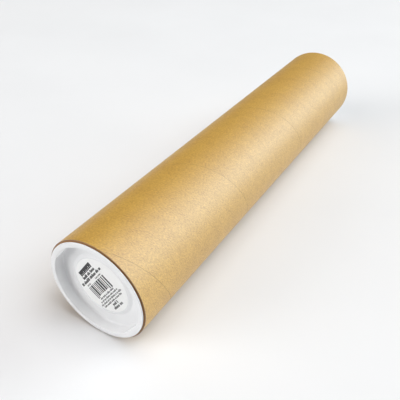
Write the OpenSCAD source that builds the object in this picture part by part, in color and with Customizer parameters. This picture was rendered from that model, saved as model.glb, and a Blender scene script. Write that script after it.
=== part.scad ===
// Drawing tube: a spiral-wound cardboard tube closed by two push-in plastic plugs, one of which
// carries a round paper label. The tube lies along X with the labelled plug at the +X end, and
// the origin is on the axis at the middle of the tube. All sizes are in millimetres.

/* [Tube] */
// Length of the cardboard tube between its two cut ends
tube_length = 400; // [250:5:900]
// Diameter of the bore that the plugs push into
bore_d = 76; // [70:1:100]
// Thickness of one ply of the board core
core_ply_t = 0.525; // [0.4:0.025:0.8]
// Thickness of the brown kraft ply on the outside, and of the liner in the bore
kraft_ply_t = 0.45; // [0.42:0.01:0.6]

/* [Winding] */
// Distance along the tube from one turn of a strip to its next turn
wind_pitch = 116.5; // [90:0.5:150]
// Width of the open butt seam between two turns of a strip
seam_gap = 0.4; // [0.3:0.05:0.8]
// Angle from +Y towards +Z at which the outermost seam runs out of the front end
outer_seam_angle = 77; // [0:1:359]
// Width at which the pointed tip of a strip has frayed off at a cut end
frayed_tip_w = 1; // [0.5:0.1:3]

/* [Plug] */
// Radial clearance between a plug's skirt and the bore
plug_clearance = 0.05; // [0.02:0.01:0.09]
// Thickness of the plug's cylindrical wall
wall_t = 2.15; // [1.6:0.05:3]
// Width of board left bare outside the flange
bare_rim = 1.2; // [0.6:0.1:1.8]
// Thickness of the flange
flange_t = 1.1; // [1:0.1:2]
// Gap left between the flange and the cut end of the tube
seat_gap = 0.6; // [0.1:0.05:1]
// Depth of the recess, from the flange's face to the floor
recess_depth = 8; // [5:0.5:12]
// Thickness of the floor
floor_t = 1.8; // [1.2:0.1:2.4]
// Length of skirt behind the floor
skirt_tail = 3.8; // [3:0.1:8]

/* [Pry tabs] */
// Angle from +Y towards +Z of the first of the two opposite tabs in the mouth of the recess
tab_angle = 141; // [0:1:359]
// How far the middle of a tab's straight edge stands in from the recess wall
tab_reach = 1.3; // [0.6:0.1:2.4]
// Thickness of a tab
tab_t = 1; // [0.8:0.1:2]
// Step down from the flange's face to the top of a tab
tab_drop = 0.4; // [0.2:0.1:1]

/* [Label pad] */
// Diameter of the flat top of the raised pad
pad_top_d = 46.6; // [40:0.2:50]
// Width of the pad's sloping side, seen from the front
pad_slope = 2.4; // [1:0.2:4]
// Height of the pad above the floor
pad_h = 1; // [0.6:0.1:1.6]
// Width of bare pad left round the paper label
label_margin = 0.8; // [0.4:0.1:4]
// Thickness of the label
label_t = 0.12; // [0.08:0.01:0.3]

/* [Hidden] */

$fn = 96;

// Strips lie over one another from the bore outwards: liner, four core plies, outer kraft.
core_plies = 4;
ply_count = core_plies + 2;
bore_r = bore_d / 2;
tube_r = bore_r + 2 * kraft_ply_t + core_plies * core_ply_t;
// Each strip's seam is turned this far round from the seam of the strip outside it, so that
// no two seams lie over one another.
seam_stagger = 360 / ply_count;
seam_step = 9;
cut_margin = 1;

skirt_r = bore_r - plug_clearance;
recess_r = skirt_r - wall_t;
flange_r = tube_r - bare_rim;
flange_face = seat_gap + flange_t;
flange_edge_r = 0.45;
floor_z = flange_face - recess_depth;
floor_back = floor_z - floor_t;
floor_fillet_r = 1.5;
skirt_end = floor_back - skirt_tail;
lead_in_l = 3;
lead_in_t = 0.7;
pad_z = floor_z + pad_h;
pad_top_r = pad_top_d / 2;

kraft = [0.80, 0.66, 0.45];
board = [0.60, 0.50, 0.38];
liner = [0.72, 0.62, 0.46];
plastic = [0.94, 0.95, 0.96];
paper = [0.98, 0.98, 0.97];

// Lays a shape built along +Z down along the tube's axis, +Z to +X.
module along_tube() {
    rotate([0, 90, 0])
        children();
}

// The helical slot that parts one turn of a strip from the next. It is a thin radial blade,
// swept along the tube with one full turn every wind_pitch.
module seam_slot(inner_r, outer_r, end_angle) {
    blade_l = tube_length + 2 * cut_margin;
    sweep = 360 * blade_l / wind_pitch;
    helix_angle = atan(wind_pitch / (2 * PI * outer_r));
    blade_w = seam_gap / sin(helix_angle);
    start_angle = end_angle + 90 - sweep * (blade_l - cut_margin) / blade_l;
    translate([0, 0, -blade_l / 2])
        rotate([0, 0, start_angle])
            linear_extrude(height = blade_l, twist = -sweep, slices = ceil(sweep / seam_step), $fn = 4)
                translate([inner_r - cut_margin, -blade_w / 2])
                    square([outer_r - inner_r + 2 * cut_margin, blade_w]);
}

// The block of paper missing where the tip of a strip has frayed off. The tip lies beside its
// seam: below it at the front end (side = 1), and above it at the rear end (side = -1).
module frayed_tip(inner_r, outer_r, seam_angle, side) {
    helix_angle = atan(wind_pitch / (2 * PI * outer_r));
    tip_l = frayed_tip_w / tan(helix_angle) + seam_gap / sin(helix_angle) / 2;
    translate([0, 0, side * tube_length / 2])
        rotate([0, 0, seam_angle + 90])
            translate([inner_r - cut_margin, -tip_l * (1 + side) / 2, -frayed_tip_w])
                cube([outer_r - inner_r + 2 * cut_margin, tip_l, 2 * frayed_tip_w]);
}

// One strip of paper or board, wound round the axis with its edges butted along a helix.
// index counts the strips outwards from 0, the liner in the bore.
module wound_strip(index, inner_r, thickness) {
    outer_r = inner_r + thickness;
    front_angle = outer_seam_angle + (ply_count - 1 - index) * seam_stagger;
    rear_angle = front_angle - 360 * tube_length / wind_pitch;
    along_tube()
        difference() {
            cylinder(h = tube_length, r = outer_r, center = true);
            cylinder(h = tube_length + 2 * cut_margin, r = inner_r, center = true);
            seam_slot(inner_r, outer_r, front_angle);
            frayed_tip(inner_r, outer_r, front_angle, 1);
            frayed_tip(inner_r, outer_r, rear_angle, -1);
        }
}

module inner_liner_ply() {
    color(liner)
        wound_strip(0, bore_r, kraft_ply_t);
}

// Core plies are numbered outwards from 1.
module core_ply(number) {
    color(board)
        wound_strip(number, bore_r + kraft_ply_t + (number - 1) * core_ply_t, core_ply_t);
}

module outer_kraft_ply() {
    color(kraft)
        wound_strip(ply_count - 1, tube_r - kraft_ply_t, kraft_ply_t);
}

// A rectangle from corner low to corner high, with its four corners rounded.
module rounded_band(low, high, r) {
    size = high - low;
    translate([low.x + r, low.y])
        square([size.x - 2 * r, size.y]);
    translate([low.x, low.y + r])
        square([size.x, size.y - 2 * r]);
    for (x = [low.x + r, high.x - r], y = [low.y + r, high.y - r])
        translate([x, y])
            circle(r = r, $fn = 32);
}

// Material left in the corner between the recess wall and the floor.
module floor_fillet() {
    corner = [recess_r - floor_fillet_r, floor_z];
    difference() {
        translate(corner)
            square(floor_fillet_r);
        translate(corner + [0, floor_fillet_r])
            circle(r = floor_fillet_r, $fn = 48);
    }
}

// Half of the plug's section: radius along x, and height out of the tube along y, from the
// tube's cut end at 0.
module plug_section() {
    // Flange over the end of the board
    rounded_band([recess_r, seat_gap], [flange_r, flange_face], flange_edge_r);
    // Wall of the recess and the skirt in the bore, with a lead-in at its far end
    polygon([
        [recess_r, skirt_end],
        [skirt_r - lead_in_t, skirt_end],
        [skirt_r, skirt_end + lead_in_l],
        [skirt_r, flange_face - flange_t / 2],
        [recess_r, flange_face - flange_t / 2]
    ]);
    floor_fillet();
    // Floor with its raised pad, hollowed behind so that it stays one thickness
    polygon([
        [0, pad_z - floor_t],
        [pad_top_r - pad_slope, pad_z - floor_t],
        [pad_top_r, floor_back],
        [recess_r + wall_t / 2, floor_back],
        [recess_r + wall_t / 2, floor_z],
        [pad_top_r + pad_slope, floor_z],
        [pad_top_r, pad_z],
        [0, pad_z]
    ]);
}

// A ledge across the mouth of the recess. Its straight edge takes a coin or a nail, which
// levers the plug out.
module pry_tab(angle) {
    root_r = recess_r + wall_t / 2;
    base_z = flange_face - tab_drop - tab_t;
    rotate([0, 0, angle + 90])
        intersection() {
            translate([0, 0, base_z])
                cylinder(h = tab_t, r = root_r);
            translate([recess_r - tab_reach, -root_r, base_z])
                cube([2 * root_r, 2 * root_r, tab_t]);
        }
}

module plug() {
    color(plastic)
        translate([0, 0, tube_length / 2]) {
            rotate_extrude($fn = 128)
                plug_section();
            for (turn = [0, 180])
                pry_tab(tab_angle + turn);
        }
}

module front_cap() {
    along_tube()
        plug();
}

module rear_cap() {
    mirror([1, 0, 0])
        front_cap();
}

// The label lies on the flat top of the front plug's pad.
module front_label() {
    color(paper)
        along_tube()
            translate([0, 0, tube_length / 2 + pad_z])
                cylinder(h = label_t, r = pad_top_r - label_margin);
}

outer_kraft_ply();
core_ply(1);  // core_ply_1
core_ply(2);  // core_ply_2
core_ply(3);  // core_ply_3
core_ply(4);  // core_ply_4
inner_liner_ply();
front_cap();
rear_cap();
front_label();
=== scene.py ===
"""A spiral-wound cardboard drawing tube closed by two push-in plastic plugs, one of them labelled.

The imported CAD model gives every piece's place and size. This script builds the finished surfaces
over it, with their materials, and sets the studio. Lengths are in metres; MM turns a figure in
millimetres into metres. The tube lies along X, with its labelled end at +X. An angle round the
tube runs from +Y towards +Z. "Height" on a plug is measured outwards from the tube's cut end.
"""
import random
from math import ceil, cos, hypot, pi, radians, sin, sqrt, tan, tau

import bmesh
import bpy
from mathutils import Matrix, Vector, noise


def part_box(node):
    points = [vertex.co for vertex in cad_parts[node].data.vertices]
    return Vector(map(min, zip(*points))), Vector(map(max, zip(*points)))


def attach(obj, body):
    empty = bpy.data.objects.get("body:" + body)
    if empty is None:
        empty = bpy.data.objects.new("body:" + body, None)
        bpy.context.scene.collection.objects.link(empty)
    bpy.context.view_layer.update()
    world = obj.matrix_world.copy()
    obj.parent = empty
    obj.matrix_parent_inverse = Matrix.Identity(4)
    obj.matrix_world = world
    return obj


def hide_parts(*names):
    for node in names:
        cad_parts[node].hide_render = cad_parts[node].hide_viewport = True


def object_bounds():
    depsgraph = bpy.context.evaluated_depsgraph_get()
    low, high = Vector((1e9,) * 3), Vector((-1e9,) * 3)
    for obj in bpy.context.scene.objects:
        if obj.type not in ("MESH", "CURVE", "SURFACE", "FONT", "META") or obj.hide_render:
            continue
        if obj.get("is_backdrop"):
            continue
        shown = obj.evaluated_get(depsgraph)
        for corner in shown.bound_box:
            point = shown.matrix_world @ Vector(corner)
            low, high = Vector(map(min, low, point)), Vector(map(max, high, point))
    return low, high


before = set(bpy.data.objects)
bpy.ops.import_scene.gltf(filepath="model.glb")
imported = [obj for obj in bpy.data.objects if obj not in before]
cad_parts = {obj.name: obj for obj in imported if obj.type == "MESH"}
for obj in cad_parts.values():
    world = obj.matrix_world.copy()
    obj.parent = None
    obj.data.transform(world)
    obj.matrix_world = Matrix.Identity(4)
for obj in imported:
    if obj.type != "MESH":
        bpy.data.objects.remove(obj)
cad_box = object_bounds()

MM = 0.001


# --- Sizes ------------------------------------------------------------------------------------

def wall_radii(node):
    """Smallest and largest distance of a CAD node's points from the tube's axis."""
    distances = [hypot(v.co.y, v.co.z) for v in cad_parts[node].data.vertices]
    return min(distances), max(distances)


# CAD nodes of the strips, from the bore outwards
STRIPS = [
    "inner_liner_ply", "core_ply_1", "core_ply_2", "core_ply_3", "core_ply_4", "outer_kraft_ply"
]
HALF_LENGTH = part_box("outer_kraft_ply")[1].x
BORE_R = wall_radii("inner_liner_ply")[0]
TUBE_R = wall_radii("outer_kraft_ply")[1]

# Winding, as in the CAD source
WIND_PITCH = 116.5 * MM
OUTER_SEAM_ANGLE = radians(77)
SEAM_STAGGER = tau / len(STRIPS)
HELIX_SLOPE = WIND_PITCH / (tau * TUBE_R)

# The finished strips butt closer than the CAD ones, and their edges are a little crushed.
SEAM_WIDTH = 0.06 * MM
EDGE_ROUND = 0.035 * MM
# Room for glue between a strip and the next one
GLUE_FILM = 0.012 * MM
# How far the outermost strip sinks beside its seams, and how wide that dip is
EDGE_SINK = 0.004 * MM
EDGE_SINK_REACH = 0.8 * MM
# Depth of the ragged cut ends, size of their tufts, and step between two strips' ragged patterns
CUT_RAGGED = 0.07 * MM
CUT_TUFT = 0.5 * MM
CUT_PATTERN_STEP = 7.3
# Width, along the tube, at which a strip's pointed tip ends
TIP_WIDTH = 0.14 * MM

# Angle between two faces from which the edge between them is shaded sharp
SHARP_ANGLE = radians(40)
# Mesh density
COLUMNS_PER_TURN = 300
STRIP_FACE_LENGTH = 12 * MM
LATHE_COLUMNS = 300
LATHE_FACE_LENGTH = 4 * MM
# Short faces beside every edge and fillet keep the shading of the broad faces flat.
EDGE_ROWS = (0.06 * MM, 0.3 * MM, 0.8 * MM)
FILLET_MARGIN = 0.08 * MM

# Plug: outer sizes from the CAD node, the rest as in the CAD source
CAP_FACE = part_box("front_cap")[1].x - HALF_LENGTH
CAP_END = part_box("front_cap")[0].x - HALF_LENGTH
FLANGE_R = wall_radii("front_cap")[1]
SKIRT_R = BORE_R - 0.05 * MM
RECESS_R = SKIRT_R - 2.15 * MM
FLANGE_T = 1.1 * MM
FLOOR_H = CAP_FACE - 8 * MM
FLOOR_T = 1.8 * MM
PAD_H = FLOOR_H + 1 * MM
PAD_R = 23.3 * MM
PAD_SLOPE = 2.4 * MM
LEAD_IN_T = 0.7 * MM
LEAD_IN_L = 3 * MM
# How much smaller the recess's radius is at its floor than at its mouth
DRAFT = 0.2 * MM
# Mark of the mould's gate in the middle of the pad: a shallow round dip with a low stub in it
GATE_R = 2.2 * MM
GATE_DEPTH = 0.35 * MM
# The flange waves this far in and out, twice in a turn.
FLANGE_WARP = 0.05 * MM
# Fillet radii, from the gate mark outwards
GATE_FILLET = 0.1 * MM
PAD_EDGE_FILLET = 0.8 * MM
PAD_FOOT_FILLET = 1 * MM
FLOOR_FILLET = 1.5 * MM
MOUTH_FILLET = 0.34 * MM
FLANGE_FILLET = 0.45 * MM
NECK_FILLET = 0.15 * MM
SKIRT_FILLET = 0.5 * MM
SKIRT_END_FILLET = 0.3 * MM
BACK_FILLET = 1 * MM

# Pry tabs in the mouth of the recess
TAB_ANGLES = [radians(141), radians(141 + 180)]
TAB_REACH = 1.3 * MM
TAB_TOP = CAP_FACE - 0.4 * MM
TAB_FOOT = TAB_TOP - 1 * MM
TAB_ROUND = 0.22 * MM
# Height left between a tab and the next ring of the recess wall
TAB_ROOT = 0.04 * MM
# Set-back of the points that no tab moves: more than any tab's reach
NO_TAB = 1.0

# Label
LABEL_R = wall_radii("front_label")[1]
LABEL_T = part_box("front_label")[1].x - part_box("front_label")[0].x
LABEL_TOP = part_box("front_label")[1].x - HALF_LENGTH
LABEL_EDGE = 0.04 * MM
INK_T = 0.012 * MM


# --- Mesh helpers -----------------------------------------------------------------------------

def new_object(name, points, faces, uvs=None):
    """A smooth-shaded object whose faces all point outwards. uvs holds one pair for each point."""
    mesh = bpy.data.meshes.new(name)
    mesh.from_pydata(points, [], faces)
    if uvs:
        corners = [corner for face in mesh.polygons for corner in face.vertices]
        flat = [number for corner in corners for number in uvs[corner]]
        mesh.uv_layers.new(name="UVMap").data.foreach_set("uv", flat)
    skin = bmesh.new()
    skin.from_mesh(mesh)
    if skin.calc_volume(signed=True) < 0:
        mesh.flip_normals()
    skin.free()
    mesh.shade_smooth()
    mesh.set_sharp_from_angle(angle=SHARP_ANGLE)
    obj = bpy.data.objects.new(name, mesh)
    bpy.context.scene.collection.objects.link(obj)
    return obj


def stand_for(obj, node, body, slot, material):
    """Lets obj stand for a CAD node on its body, with its material. The slot argument is not used.
    """
    obj.data.materials.append(material)
    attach(obj, body)
    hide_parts(node)


def around(radius, angle, x):
    """The point at a radius and an angle round the tube's axis."""
    return (x, radius * cos(angle), radius * sin(angle))


def smooth_step(share):
    """Eases from 0 to 1 as the share goes from 0 to 1, and stays level outside."""
    share = min(1.0, max(0.0, share))
    return share * share * (3 - 2 * share)


# --- Wound strips -----------------------------------------------------------------------------

def strip_section(low, high, inner_r, outer_r, rows):
    """Closed section of a strip between two places along X, as (x, radius) pairs.

    Where the strip narrows to its tip, the short faces beside its edges shrink to fit.
    """
    crush = min(EDGE_ROUND, (high - low) / 4)
    # How far in from both faces the middle of a rounded edge lies
    bevel = crush * (1 - sqrt(0.5))
    first, last = low + crush, high - crush
    squeeze = min(1.0, (last - first) / (3 * EDGE_ROWS[-1]))
    margin = [0.0] + [row * squeeze for row in EDGE_ROWS]
    start, end = first + margin[-1], last - margin[-1]
    wall = [first + step for step in margin]
    wall += [start + (end - start) * i / rows for i in range(1, rows)]
    wall += [last - step for step in reversed(margin)]
    section = [(low, outer_r - crush), (low + bevel, outer_r - bevel)]
    section += [(x, outer_r) for x in wall]
    section += [(high - bevel, outer_r - bevel), (high, outer_r - crush)]
    section += [(high, inner_r + crush), (high - bevel, inner_r + bevel)]
    section += [(x, inner_r) for x in reversed(wall)]
    section += [(low + bevel, inner_r + bevel), (low, inner_r + crush)]
    return section


def wound_strip(index):
    """One strip of paper, wound helically from end to end as a single closed skin.

    Its UV map runs along the strip and across it, in metres. The point value edge_mm is the
    distance to the nearest cut or seam edge of the strip.
    """
    node = STRIPS[index]
    outermost = index == len(STRIPS) - 1
    inner_r, outer_r = wall_radii(node)
    inner_r += GLUE_FILM if index > 0 else 0
    outer_r -= 0 if outermost else GLUE_FILM
    end_angle = OUTER_SEAM_ANGLE + (len(STRIPS) - 1 - index) * SEAM_STAGGER
    half_gap = SEAM_WIDTH / 2 * hypot(1, HELIX_SLOPE)
    rows = ceil(WIND_PITCH / STRIP_FACE_LENGTH)
    first = end_angle + tau * (TIP_WIDTH + half_gap - 2 * HALF_LENGTH) / WIND_PITCH
    last = end_angle + tau * (WIND_PITCH - TIP_WIDTH - half_gap) / WIND_PITCH
    columns = ceil((last - first) / tau * COLUMNS_PER_TURN)

    points, uvs, edges = [], [], []
    for column in range(columns + 1):
        turned = first + (last - first) * column / columns
        seam = HALF_LENGTH + WIND_PITCH * (turned - end_angle) / tau
        tufts = noise.noise(Vector((turned * outer_r / CUT_TUFT, CUT_PATTERN_STEP * index, 0)))
        cut = HALF_LENGTH - CUT_RAGGED * abs(tufts)
        low = max(-cut, seam - WIND_PITCH + half_gap)
        high = min(cut, seam - half_gap)
        for x, r in strip_section(low, high, inner_r, outer_r, rows):
            to_seam = min(seam - x, x - seam + WIND_PITCH)
            if outermost:
                r -= EDGE_SINK * (1 - smooth_step(to_seam / EDGE_SINK_REACH))
            points.append(around(r, turned, x))
            uvs.append((turned * TUBE_R + (x - seam) * HELIX_SLOPE, x - seam))
            edges.append(min(x - low, high - x) / MM)

    ring = len(points) // (columns + 1)
    faces = [tuple(range(ring)), tuple(columns * ring + i for i in range(ring))]
    for start in range(0, columns * ring, ring):
        for i in range(ring):
            j = (i + 1) % ring
            faces.append((start + i, start + j, start + ring + j, start + ring + i))
    strip = new_object(node + "_wound", points, faces, uvs)
    strip.data.attributes.new("edge_mm", "FLOAT", "POINT").data.foreach_set("value", edges)
    return strip


# --- Lathe ------------------------------------------------------------------------------------

def rounded_outline(corners, step=radians(15)):
    """Points along a path of (radius, height, fillet) corners, each fillet drawn as an arc."""
    path = [Vector(corners[0][:2])]
    for before, (x, y, fillet), after in zip(corners, corners[1:], corners[2:]):
        corner = Vector((x, y))
        back = (Vector(before[:2]) - corner).normalized()
        ahead = (Vector(after[:2]) - corner).normalized()
        half = back.angle(ahead) / 2
        centre = corner + (back + ahead).normalized() * fillet / sin(half)
        start = corner + back * fillet / tan(half) - centre
        end = corner + ahead * fillet / tan(half) - centre
        pieces = max(2, ceil((pi - 2 * half) / step))
        arms = [start.slerp(end, piece / pieces).normalized() for piece in range(pieces + 1)]
        path += [centre + arm * fillet for arm in arms]
    return path + [Vector(corners[-1][:2])]


def split_long(path, longest):
    """Adds points so that no stretch of the path is longer than longest.

    A straight stretch also gets a short piece at each of its ends.
    """
    result = [path[0]]
    for a, b in zip(path, path[1:]):
        length = (b - a).length
        if length > 4 * FILLET_MARGIN:
            share = FILLET_MARGIN / length
            pieces = ceil(length / longest)
            shares = [share + (1 - 2 * share) * piece / pieces for piece in range(pieces + 1)]
            result += [a.lerp(b, share) for share in shares]
        result.append(b)
    return result


def lathe(name, path, place):
    """Turns a path that starts and ends on the axis. place(point, angle) says where it goes."""
    angles = [tau * column / LATHE_COLUMNS for column in range(LATHE_COLUMNS)]
    points = [place(path[0], 0)]
    points += [place(point, angle) for point in path[1:-1] for angle in angles]
    points.append(place(path[-1], 0))
    last_ring = len(points) - 1 - LATHE_COLUMNS
    faces = []
    for c in range(LATHE_COLUMNS):
        d = (c + 1) % LATHE_COLUMNS
        faces.append((0, 1 + c, 1 + d))
        for ring in range(1, last_ring, LATHE_COLUMNS):
            faces.append((ring + c, ring + d, ring + LATHE_COLUMNS + d, ring + LATHE_COLUMNS + c))
        faces.append((last_ring + d, last_ring + c, len(points) - 1))
    return new_object(name, points, faces)


# --- Plugs ------------------------------------------------------------------------------------

def tab_reach(angle):
    """How far a pry tab's straight edge stands in from the recess wall at an angle."""
    off = min(abs((angle - tab + pi) % tau - pi) for tab in TAB_ANGLES)
    if off > pi / 4:
        return 0.0
    return max(0.0, RECESS_R - (RECESS_R - TAB_REACH) / cos(off))


def tab_edge():
    """The rounded edge of a pry tab from its underside to its top.

    Each point's third figure says how far back from the straight edge it lies.
    """
    quarter = [radians(a) for a in (0, 30, 60, 90)]
    back = [(TAB_ROUND * (1 - sin(a)), TAB_ROUND * (1 - cos(a))) for a in quarter]
    lower = [Vector((RECESS_R, TAB_FOOT + up, inset)) for inset, up in back]
    upper = [Vector((RECESS_R, TAB_TOP - down, inset)) for inset, down in reversed(back)]
    return lower + upper


def plug_path():
    """The plug's section, from the middle of its pad over the flange to the middle of its back.

    Each point is (radius, height, set-back), as place() in plug() reads it.
    """
    inside = rounded_outline([
        (0, PAD_H - GATE_DEPTH * 0.4, 0),
        (GATE_R * 0.3, PAD_H - GATE_DEPTH * 0.5, GATE_FILLET),
        (GATE_R * 0.35, PAD_H - GATE_DEPTH, GATE_FILLET),
        (GATE_R * 0.9, PAD_H - GATE_DEPTH, GATE_FILLET),
        (GATE_R, PAD_H, GATE_FILLET),
        (PAD_R, PAD_H, PAD_EDGE_FILLET),
        (PAD_R + PAD_SLOPE, FLOOR_H, PAD_FOOT_FILLET),
        (RECESS_R - DRAFT, FLOOR_H, FLOOR_FILLET),
        (RECESS_R, TAB_FOOT - TAB_ROOT, 0),
    ])
    outside = rounded_outline([
        (RECESS_R, TAB_TOP + TAB_ROOT, 0),
        (RECESS_R, CAP_FACE, MOUTH_FILLET),
        (FLANGE_R, CAP_FACE, FLANGE_FILLET),
        (FLANGE_R, CAP_FACE - FLANGE_T, FLANGE_FILLET),
        (SKIRT_R, CAP_FACE - FLANGE_T, NECK_FILLET),
        (SKIRT_R, CAP_END + LEAD_IN_L, SKIRT_FILLET),
        (SKIRT_R - LEAD_IN_T, CAP_END, SKIRT_END_FILLET),
        (RECESS_R, CAP_END, SKIRT_END_FILLET),
        (RECESS_R, FLOOR_H - FLOOR_T, BACK_FILLET),
        (PAD_R, FLOOR_H - FLOOR_T, BACK_FILLET),
        (PAD_R - PAD_SLOPE, PAD_H - FLOOR_T, BACK_FILLET),
        (0, PAD_H - FLOOR_T, 0),
    ])
    inside, outside = [
        [Vector((*point, NO_TAB)) for point in split_long(part, LATHE_FACE_LENGTH)]
        for part in (inside, outside)
    ]
    return inside + tab_edge() + outside


def plug(name, end):
    """A plug at the +X end (end = 1) or at the -X end (end = -1)."""
    def place(point, angle):
        """Turns a point of the section to an angle, moved in where a pry tab stands."""
        radius, height, inset = point
        radius -= max(0.0, tab_reach(angle) - inset)
        on_flange = smooth_step((radius - RECESS_R) / (FLANGE_R - RECESS_R))
        if height > 0:
            height += FLANGE_WARP * on_flange * sin(2 * angle + end)
        return around(radius, angle, end * (HALF_LENGTH + height))
    return lathe(name, plug_path(), place)


# --- Label ------------------------------------------------------------------------------------

# Directions across the label, as a reader in front of the plug sees it: along a line of print,
# and up the page
ALONG = Vector((0, 0.585, 0.811))
UP = Vector((0, -0.811, 0.585))

# The print is laid out in shares of the tube's radius, from the middle of the label.
# Ruler mark: left, right, low, high, number of graduations; then the width of a graduation as a
# share of its step, how far up the bar it reaches, and how far every fourth one reaches
RULER = (-0.26, 0.21, 0.34, 0.435, 9)
TICK_WIDTH = 0.18
TICK_REACH = 0.35
LONG_TICK_REACH = 0.6

# Block of bars: left, right, low, high, number of dark bars; then the widths to draw from, in
# units, and how far the guard bars at its two sides hang below the others
STRIPED_CODE = (-0.36, 0.26, -0.105, 0.125, 11)
DARK_WIDTHS = (2, 3, 4, 5)
LIGHT_WIDTHS = (2, 2, 3)
GUARD_DROP = 0.03

# Lines of print: left, right, middle, height, and weight as the inked share of a letter's step
LINES_ABOVE_CODE = [
    (-0.28, 0.21, 0.30, 0.055, 0.9),
    (-0.455, 0.37, 0.23, 0.055, 0.9),
    (-0.34, -0.22, 0.16, 0.03, 0.7),
    (0.02, 0.24, 0.16, 0.03, 0.7),
]
LINES_BELOW_CODE = [
    (-0.33, 0.23, -0.155, 0.036, 0.75),
    (-0.40, 0.30, -0.205, 0.036, 0.75),
    (-0.46, 0.375, -0.255, 0.036, 0.75),
    (-0.42, 0.32, -0.305, 0.036, 0.75),
    (-0.16, 0.06, -0.365, 0.055, 0.85),
    (-0.21, 0.12, -0.43, 0.055, 0.85),
]
# A letter's step and the heights of letters as shares of the line's height, the fewest and most
# letters in a word, and the space after a word as a share of a letter's step
LETTER_STEP = 0.62
LETTER_HEIGHTS = (0.72, 0.72, 1.0)
WORD_LETTERS = (2, 7)
WORD_SPACE = 0.7
PRINT_SEED = 11


def label_disc():
    """The round paper label, with a cut edge that is slightly rounded."""
    path = rounded_outline([
        (0, LABEL_TOP, 0),
        (LABEL_R, LABEL_TOP, LABEL_EDGE),
        (LABEL_R, LABEL_TOP - LABEL_T, LABEL_EDGE / 2),
        (0, LABEL_TOP - LABEL_T, 0),
    ], step=radians(30))

    def place(point, angle):
        return around(point.x, angle, HALF_LENGTH + point.y)
    return lathe("label_disc", split_long(path, LATHE_FACE_LENGTH), place)


def ink_block(blocks, left, right, low, high):
    """Adds a block of ink, given in shares of the tube's radius."""
    blocks.append((left * TUBE_R, right * TUBE_R, low * TUBE_R, high * TUBE_R))


def greek_line(blocks, draw, left, right, middle, height, weight):
    """A line of stand-in print: words of small blocks that spell nothing."""
    letter = height * LETTER_STEP
    foot = middle - height / 2
    at = left
    while at < right - letter:
        for _ in range(draw.randint(*WORD_LETTERS)):
            tall = height * draw.choice(LETTER_HEIGHTS)
            if at + letter * weight > right:
                break
            ink_block(blocks, at, at + letter * weight, foot, foot + tall)
            at += letter
        at += letter * WORD_SPACE


def ruler_mark(blocks, left, right, low, high, ticks):
    """A black bar whose lower side carries the graduations of a ruler, left white."""
    step = (right - left) / ticks
    gap = step * TICK_WIDTH
    for i in range(ticks):
        start = left + i * step
        reach = LONG_TICK_REACH if i % 4 == 2 else TICK_REACH
        tick_top = low + (high - low) * reach
        ink_block(blocks, start, start + step - gap, low, high)
        ink_block(blocks, start + step - gap, start + step, tick_top, high)


def striped_code(blocks, draw, left, right, low, high, bars):
    """A block of upright bars of unequal widths that encode nothing."""
    stripes = 2 * bars - 1
    widths = [draw.choice(LIGHT_WIDTHS if i % 2 else DARK_WIDTHS) for i in range(stripes)]
    guards = (0, 2, stripes - 3, stripes - 1)
    unit = (right - left) / sum(widths)
    at = left
    for i, width in enumerate(widths):
        if i % 2 == 0:
            foot = low - GUARD_DROP if i in guards else low
            ink_block(blocks, at, at + width * unit, foot, high)
        at += width * unit


def label_print():
    """All the ink on the label as thin closed blocks."""
    draw = random.Random(PRINT_SEED)
    blocks = []
    ruler_mark(blocks, *RULER)
    for line in LINES_ABOVE_CODE:
        greek_line(blocks, draw, *line)
    striped_code(blocks, draw, *STRIPED_CODE)
    for line in LINES_BELOW_CODE:
        greek_line(blocks, draw, *line)

    points, faces = [], []
    top = Vector((HALF_LENGTH + LABEL_TOP + INK_T, 0, 0))
    foot = top - Vector((2 * INK_T, 0, 0))
    for left, right, low, high in blocks:
        base = len(points)
        corners = [(left, low), (right, low), (right, high), (left, high)]
        points += [top + ALONG * u + UP * v for u, v in corners]
        points += [foot + ALONG * u + UP * v for u, v in corners]
        faces += [tuple(base + i for i in range(4)), tuple(base + 7 - i for i in range(4))]
        for i in range(4):
            j = (i + 1) % 4
            faces.append((base + i, base + j, base + 4 + j, base + 4 + i))
    return new_object("label_print", points, faces)


# --- Materials --------------------------------------------------------------------------------

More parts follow.
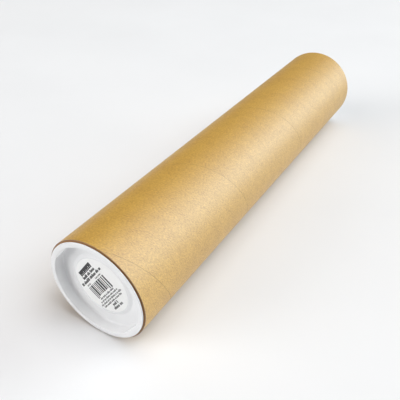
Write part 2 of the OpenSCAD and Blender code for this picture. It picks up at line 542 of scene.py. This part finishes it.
class Surface:
    """A material and short calls that add nodes to it. Each call returns the node's output."""

    def __init__(self, name):
        self.material = bpy.data.materials.new(name + "_finish")
        self.material.use_nodes = True
        self.nodes = self.material.node_tree.nodes
        self.links = self.material.node_tree.links
        self.shader = self.nodes["Principled BSDF"]

    def feed(self, socket, value):
        """Links an output to a socket, or sets the socket to a plain value."""
        if isinstance(value, bpy.types.NodeSocket):
            self.links.new(value, socket)
        else:
            socket.default_value = value

    def set(self, **inputs):
        """Feeds the shader's inputs, named with underscores for spaces."""
        for name, value in inputs.items():
            self.feed(self.shader.inputs[name.replace("_", " ")], value)

    def place(self, source, scale):
        """Coordinates in metres, from "UV" or "Object", times a scale for each axis."""
        coordinates = self.nodes.new("ShaderNodeTexCoord")
        stretch = self.nodes.new("ShaderNodeVectorMath")
        stretch.operation = "MULTIPLY"
        self.links.new(coordinates.outputs[source], stretch.inputs[0])
        stretch.inputs[1].default_value = scale
        return stretch.outputs["Vector"]

    def noise(self, vector, detail=2.0, roughness=0.5):
        """Soft noise between 0 and 1."""
        node = self.nodes.new("ShaderNodeTexNoise")
        self.links.new(vector, node.inputs["Vector"])
        node.inputs["Scale"].default_value = 1.0
        node.inputs["Detail"].default_value = detail
        node.inputs["Roughness"].default_value = roughness
        return node.outputs["Fac"]

    def spots(self, vector):
        """Distance to the nearest of a scatter of points."""
        node = self.nodes.new("ShaderNodeTexVoronoi")
        self.links.new(vector, node.inputs["Vector"])
        node.inputs["Scale"].default_value = 1.0
        return node.outputs["Distance"]

    def value(self, name):
        """A point value that the mesh carries."""
        node = self.nodes.new("ShaderNodeAttribute")
        node.attribute_name = name
        return node.outputs["Fac"]

    def remap(self, value, low, high, to_low, to_high):
        """Stretches low to high over to_low to to_high, and stays level outside."""
        node = self.nodes.new("ShaderNodeMapRange")
        for socket, number in zip(node.inputs[:5], (value, low, high, to_low, to_high)):
            self.feed(socket, number)
        return node.outputs["Result"]

    def math(self, operation, a, b):
        """One sum on two values, under Blender's own name for it."""
        node = self.nodes.new("ShaderNodeMath")
        node.operation = operation
        self.feed(node.inputs[0], a)
        self.feed(node.inputs[1], b)
        return node.outputs["Value"]

    def weigh(self, *parts):
        """Sum of outputs, given as (output, weight) pairs."""
        total = 0.0
        for output, weight in parts:
            total = self.math("ADD", total, self.math("MULTIPLY", output, weight))
        return total

    def mix(self, share, a, b):
        """Colour a at a share of 0, and colour b at a share of 1."""
        node = self.nodes.new("ShaderNodeMix")
        node.data_type = "RGBA"
        self.feed(node.inputs["Factor"], share)
        colours = [socket for socket in node.inputs if socket.type == "RGBA"]
        self.feed(colours[0], a)
        self.feed(colours[1], b)
        return next(socket for socket in node.outputs if socket.type == "RGBA")

    def bump(self, height, depth):
        """Bumps the surface by a height of 0 to 1, depth metres deep."""
        node = self.nodes.new("ShaderNodeBump")
        node.inputs["Distance"].default_value = depth
        self.links.new(height, node.inputs["Height"])
        self.links.new(node.outputs["Normal"], self.shader.inputs["Normal"])


def rgb(red, green, blue):
    """A colour in linear light, as Blender takes it."""
    return (red, green, blue, 1.0)


def scale_of(*sizes_mm):
    """Texture scale whose features are about these sizes, in millimetres."""
    sizes = list(sizes_mm) * (3 if len(sizes_mm) == 1 else 1)
    return [1 / (size * MM) for size in sizes]


def strip_paper(name, pale, deep, cut, roughness, sheen):
    """Paper with its fibres along the strip, and a matte fibrous face where it is cut."""
    s = Surface(name)
    fibres = s.noise(s.place("UV", scale_of(2.4, 0.7, 1)), 3, 0.65)
    speckle = s.noise(s.place("UV", scale_of(1.3, 1.0, 1)), 2, 0.6)
    mottle = s.noise(s.place("UV", scale_of(9, 6, 1)), 2, 0.5)
    clouds = s.noise(s.place("UV", scale_of(40, 22, 1)), 3, 0.55)
    grain = s.weigh((fibres, 0.45), (speckle, 0.55))
    tone = s.weigh((grain, 0.79), (mottle, 0.13), (clouds, 0.08))
    colour = s.mix(s.remap(tone, 0.39, 0.61, 0, 1), deep, pale)
    flecks = s.spots(s.place("UV", scale_of(5.5, 3.5, 1)))
    colour = s.mix(s.remap(flecks, 0.05, 0.10, 0.45, 0), colour, cut)

    # Up to about half a millimetre from an edge the paper is rubbed, and the edge itself is cut.
    edge = s.value("edge_mm")
    worn = s.remap(s.weigh((edge, 1), (clouds, 0.3)), 0.15, 0.5, 0.10, 0)
    colour = s.mix(worn, colour, cut)
    colour = s.mix(s.remap(edge, 0.0, 0.03, 1, 0), colour, cut)

    gloss = s.remap(tone, 0.3, 0.7, roughness + 0.06, roughness - 0.06)
    s.set(Base_Color=colour, Roughness=gloss, Sheen_Weight=sheen, Sheen_Roughness=0.5)
    s.bump(grain, 0.035 * MM)
    return s


def kraft_paper():
    s = strip_paper(
        "kraft_paper",
        pale=rgb(0.69, 0.418, 0.060),
        deep=rgb(0.42, 0.199, 0.013),
        # The cut colour is darker than cut kraft alone: part of it is painted shade for the
        # crevice between the plug's flange and the tube's cut end, and it also darkens the seams
        # and flecks.
        cut=rgb(0.15, 0.065, 0.02),
        roughness=0.52,
        sheen=0.03,
    )
    # Higher than paper's own, for the broad pale shine that this kraft has
    s.set(IOR=2.4)
    return s.material


def core_board():
    return strip_paper(
        "core_board",
        pale=rgb(0.42, 0.27, 0.13),
        deep=rgb(0.30, 0.19, 0.09),
        cut=rgb(0.36, 0.17, 0.05),
        roughness=0.85,
        sheen=0.1,
    ).material


def liner_paper():
    return strip_paper(
        "liner_paper",
        pale=rgb(0.50, 0.33, 0.15),
        deep=rgb(0.38, 0.24, 0.10),
        cut=rgb(0.18, 0.10, 0.045),
        roughness=0.6,
        sheen=0.1,
    ).material


def white_plastic():
    """Moulded plastic, faintly clouded and rubbed."""
    s = Surface("white_plastic")
    clouds = s.noise(s.place("Object", scale_of(14)), 2)
    grain = s.noise(s.place("Object", scale_of(0.7)), 2)
    rubs = s.noise(s.place("Object", scale_of(1.5, 9, 9)), 3, 0.6)
    cloudy = s.remap(clouds, 0.3, 0.7, 0, 1)
    colour = s.mix(cloudy, rgb(0.80, 0.803, 0.81), rgb(0.83, 0.833, 0.84))
    s.set(Base_Color=colour, Roughness=s.remap(rubs, 0.35, 0.7, 0.22, 0.27))
    s.set(Subsurface_Weight=0.04, Subsurface_Radius=(1, 1, 1), Subsurface_Scale=1.2 * MM)
    s.bump(grain, 0.003 * MM)
    return s.material


def label_paper():
    """Smooth white paper."""
    s = Surface("label_paper")
    fibres = s.noise(s.place("Object", scale_of(1, 0.5, 0.9)), 3, 0.6)
    clouds = s.noise(s.place("Object", scale_of(9)), 2)
    tone = s.weigh((fibres, 0.6), (clouds, 0.4))
    white = s.remap(tone, 0.3, 0.7, 0, 1)
    colour = s.mix(white, rgb(0.84, 0.84, 0.83), rgb(0.90, 0.90, 0.895))
    s.set(Base_Color=colour, Roughness=s.remap(clouds, 0.3, 0.7, 0.5, 0.62))
    s.bump(tone, 0.008 * MM)
    return s.material


def label_ink():
    """Black ink, a little patchy."""
    s = Surface("label_ink")
    patches = s.noise(s.place("Object", scale_of(0.8)), 3)
    thin = s.remap(patches, 0.35, 0.7, 0, 1)
    colour = s.mix(thin, rgb(0.012, 0.012, 0.014), rgb(0.05, 0.05, 0.052))
    s.set(Base_Color=colour, Roughness=s.remap(patches, 0.3, 0.7, 0.45, 0.6))
    return s.material


# Brightness of the backdrop, and the distances between which the floor fades into it
BACKDROP = 0.90
FADE_START = 0.6
FADE_END = 2.2


def studio_floor():
    """Matte pale floor, which far from the tube turns into the backdrop's even tone."""
    s = Surface("studio_floor")
    clouds = s.noise(s.place("Object", scale_of(160)), 2)
    cloudy = s.remap(clouds, 0.3, 0.7, 0, 1)
    colour = s.mix(cloudy, rgb(0.80, 0.80, 0.81), rgb(0.82, 0.82, 0.83))
    s.set(Base_Color=colour, Roughness=0.9, Specular_IOR_Level=0.0)

    distance = s.nodes.new("ShaderNodeVectorMath")
    distance.operation = "LENGTH"
    s.links.new(s.place("Object", (1, 1, 1)), distance.inputs[0])
    far = s.remap(distance.outputs["Value"], FADE_START, FADE_END, 0, 1)
    backdrop = s.nodes.new("ShaderNodeEmission")
    backdrop.inputs["Strength"].default_value = BACKDROP
    blend = s.nodes.new("ShaderNodeMixShader")
    s.links.new(far, blend.inputs["Fac"])
    s.links.new(s.shader.outputs["BSDF"], blend.inputs[1])
    s.links.new(backdrop.outputs["Emission"], blend.inputs[2])
    s.links.new(blend.outputs["Shader"], s.nodes["Material Output"].inputs["Surface"])
    return s.material


# --- Studio -----------------------------------------------------------------------------------

# The floor reaches well past the distance at which it has faded into the backdrop.
FLOOR_R = 12.0
FLOOR_SIDES = 96

# Lens and sensor in millimetres, as Blender takes them
FOCAL_LENGTH = 45.63
SENSOR_WIDTH = 36.0
CLIP_START = 10 * MM
# Camera, in tube radii from the middle of the labelled cut end, and the way it looks
CAMERA_PLACE = Vector((4.125, 4.526, 6.100))
CAMERA_GAZE = Vector((-0.6904, -0.4233, -0.5866))

# Softboxes: name, angle round from +X towards +Y and angle up in degrees, power in watts and
# tint. Right and left are as the camera sees them. The low and high right ones are the coolest,
# and the high left one and the overhead one are warm.
SOFTBOX_DISTANCE = 6.0
SOFTBOX_WIDTH = 4.4
SOFTBOXES = [
    ("right_low_softbox", 138, 12, 165, (0.86, 0.97, 1.0)),
    ("right_high_softbox", 145, 36, 80, (0.88, 0.97, 1.0)),
    ("left_low_softbox", 318, 15, 180, (0.96, 0.98, 1.0)),
    ("left_high_softbox", 330, 38, 95, (1.0, 0.95, 0.90)),
    ("camera_side_softbox", 15, 28, 15, (0.96, 0.98, 1.0)),
    ("right_top_softbox", 90, 57, 170, (0.96, 0.98, 1.0)),
    ("overhead_softbox", 120, 81, 140, (1.0, 0.97, 0.94)),
]


def add_floor():
    """A round floor on which the tube lies."""
    floor = bmesh.new()
    bmesh.ops.create_circle(floor, cap_ends=True, segments=FLOOR_SIDES, radius=FLOOR_R)
    bmesh.ops.translate(floor, verts=floor.verts, vec=(0, 0, -TUBE_R))
    mesh = bpy.data.meshes.new("studio_floor")
    floor.to_mesh(mesh)
    floor.free()
    mesh.materials.append(studio_floor())
    obj = bpy.data.objects.new("studio_floor", mesh)
    bpy.context.scene.collection.objects.link(obj)
    obj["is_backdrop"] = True


def add_softbox(name, round_angle, up_angle, power, tint):
    """A round softbox that faces the origin and is not seen by the camera."""
    lamp = bpy.data.lights.new(name, "AREA")
    lamp.shape = "DISK"
    lamp.size = SOFTBOX_WIDTH
    lamp.energy = power
    lamp.color = tint
    obj = bpy.data.objects.new(name, lamp)
    a = radians(round_angle)
    e = radians(up_angle)
    place = Vector((cos(a) * cos(e), sin(a) * cos(e), sin(e))) * SOFTBOX_DISTANCE
    obj.location = place
    obj.rotation_mode = "QUATERNION"
    obj.rotation_quaternion = place.to_track_quat("Z", "Y")
    obj.visible_camera = False
    bpy.context.scene.collection.objects.link(obj)


def add_world():
    """An even pale tone behind the floor, which only the camera sees and which lights nothing."""
    world = bpy.data.worlds.new("studio")
    world.use_nodes = True
    nodes, links = world.node_tree.nodes, world.node_tree.links
    background = nodes["Background"]
    background.inputs["Color"].default_value = rgb(1.0, 1.0, 1.0)
    rays = nodes.new("ShaderNodeLightPath")
    strength = nodes.new("ShaderNodeMath")
    strength.operation = "MULTIPLY"
    links.new(rays.outputs["Is Camera Ray"], strength.inputs[0])
    strength.inputs[1].default_value = BACKDROP
    links.new(strength.outputs["Value"], background.inputs["Strength"])
    bpy.context.scene.world = world


def add_camera():
    """The camera, at the photograph's angle."""
    data = bpy.data.cameras.new("camera")
    data.lens = FOCAL_LENGTH
    data.sensor_width = SENSOR_WIDTH
    data.clip_start = CLIP_START
    camera = bpy.data.objects.new("camera", data)
    camera.location = Vector((HALF_LENGTH, 0, 0)) + CAMERA_PLACE * TUBE_R
    camera.rotation_mode = "QUATERNION"
    camera.rotation_quaternion = CAMERA_GAZE.to_track_quat("-Z", "Y")
    bpy.context.scene.collection.objects.link(camera)
    bpy.context.scene.camera = camera


# --- Build ------------------------------------------------------------------------------------

papers = {"kraft_paper": kraft_paper(), "core_board": core_board(), "liner_paper": liner_paper()}
facing_slots = {"outer_kraft_ply": "kraft_paper", "inner_liner_ply": "liner_paper"}
for index, node in enumerate(STRIPS):
    slot = facing_slots.get(node, "core_board")
    stand_for(wound_strip(index), node, "tube", slot, papers[slot])

plastic = white_plastic()
stand_for(plug("front_plug", 1), "front_cap", "front_plug", "white_plastic", plastic)
stand_for(plug("rear_plug", -1), "rear_cap", "rear_plug", "white_plastic", plastic)
stand_for(label_disc(), "front_label", "front_plug", "label_paper", label_paper())
ink = label_print()
ink.data.materials.append(label_ink())
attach(ink, "front_plug")

add_floor()
for softbox in SOFTBOXES:
    add_softbox(*softbox)
add_world()
add_camera()
bpy.context.scene.view_settings.view_transform = "Standard"

model_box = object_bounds()
boxes = {"cad": cad_box, "model": model_box}
{name: [list(corner) for corner in box] for name, box in boxes.items()}
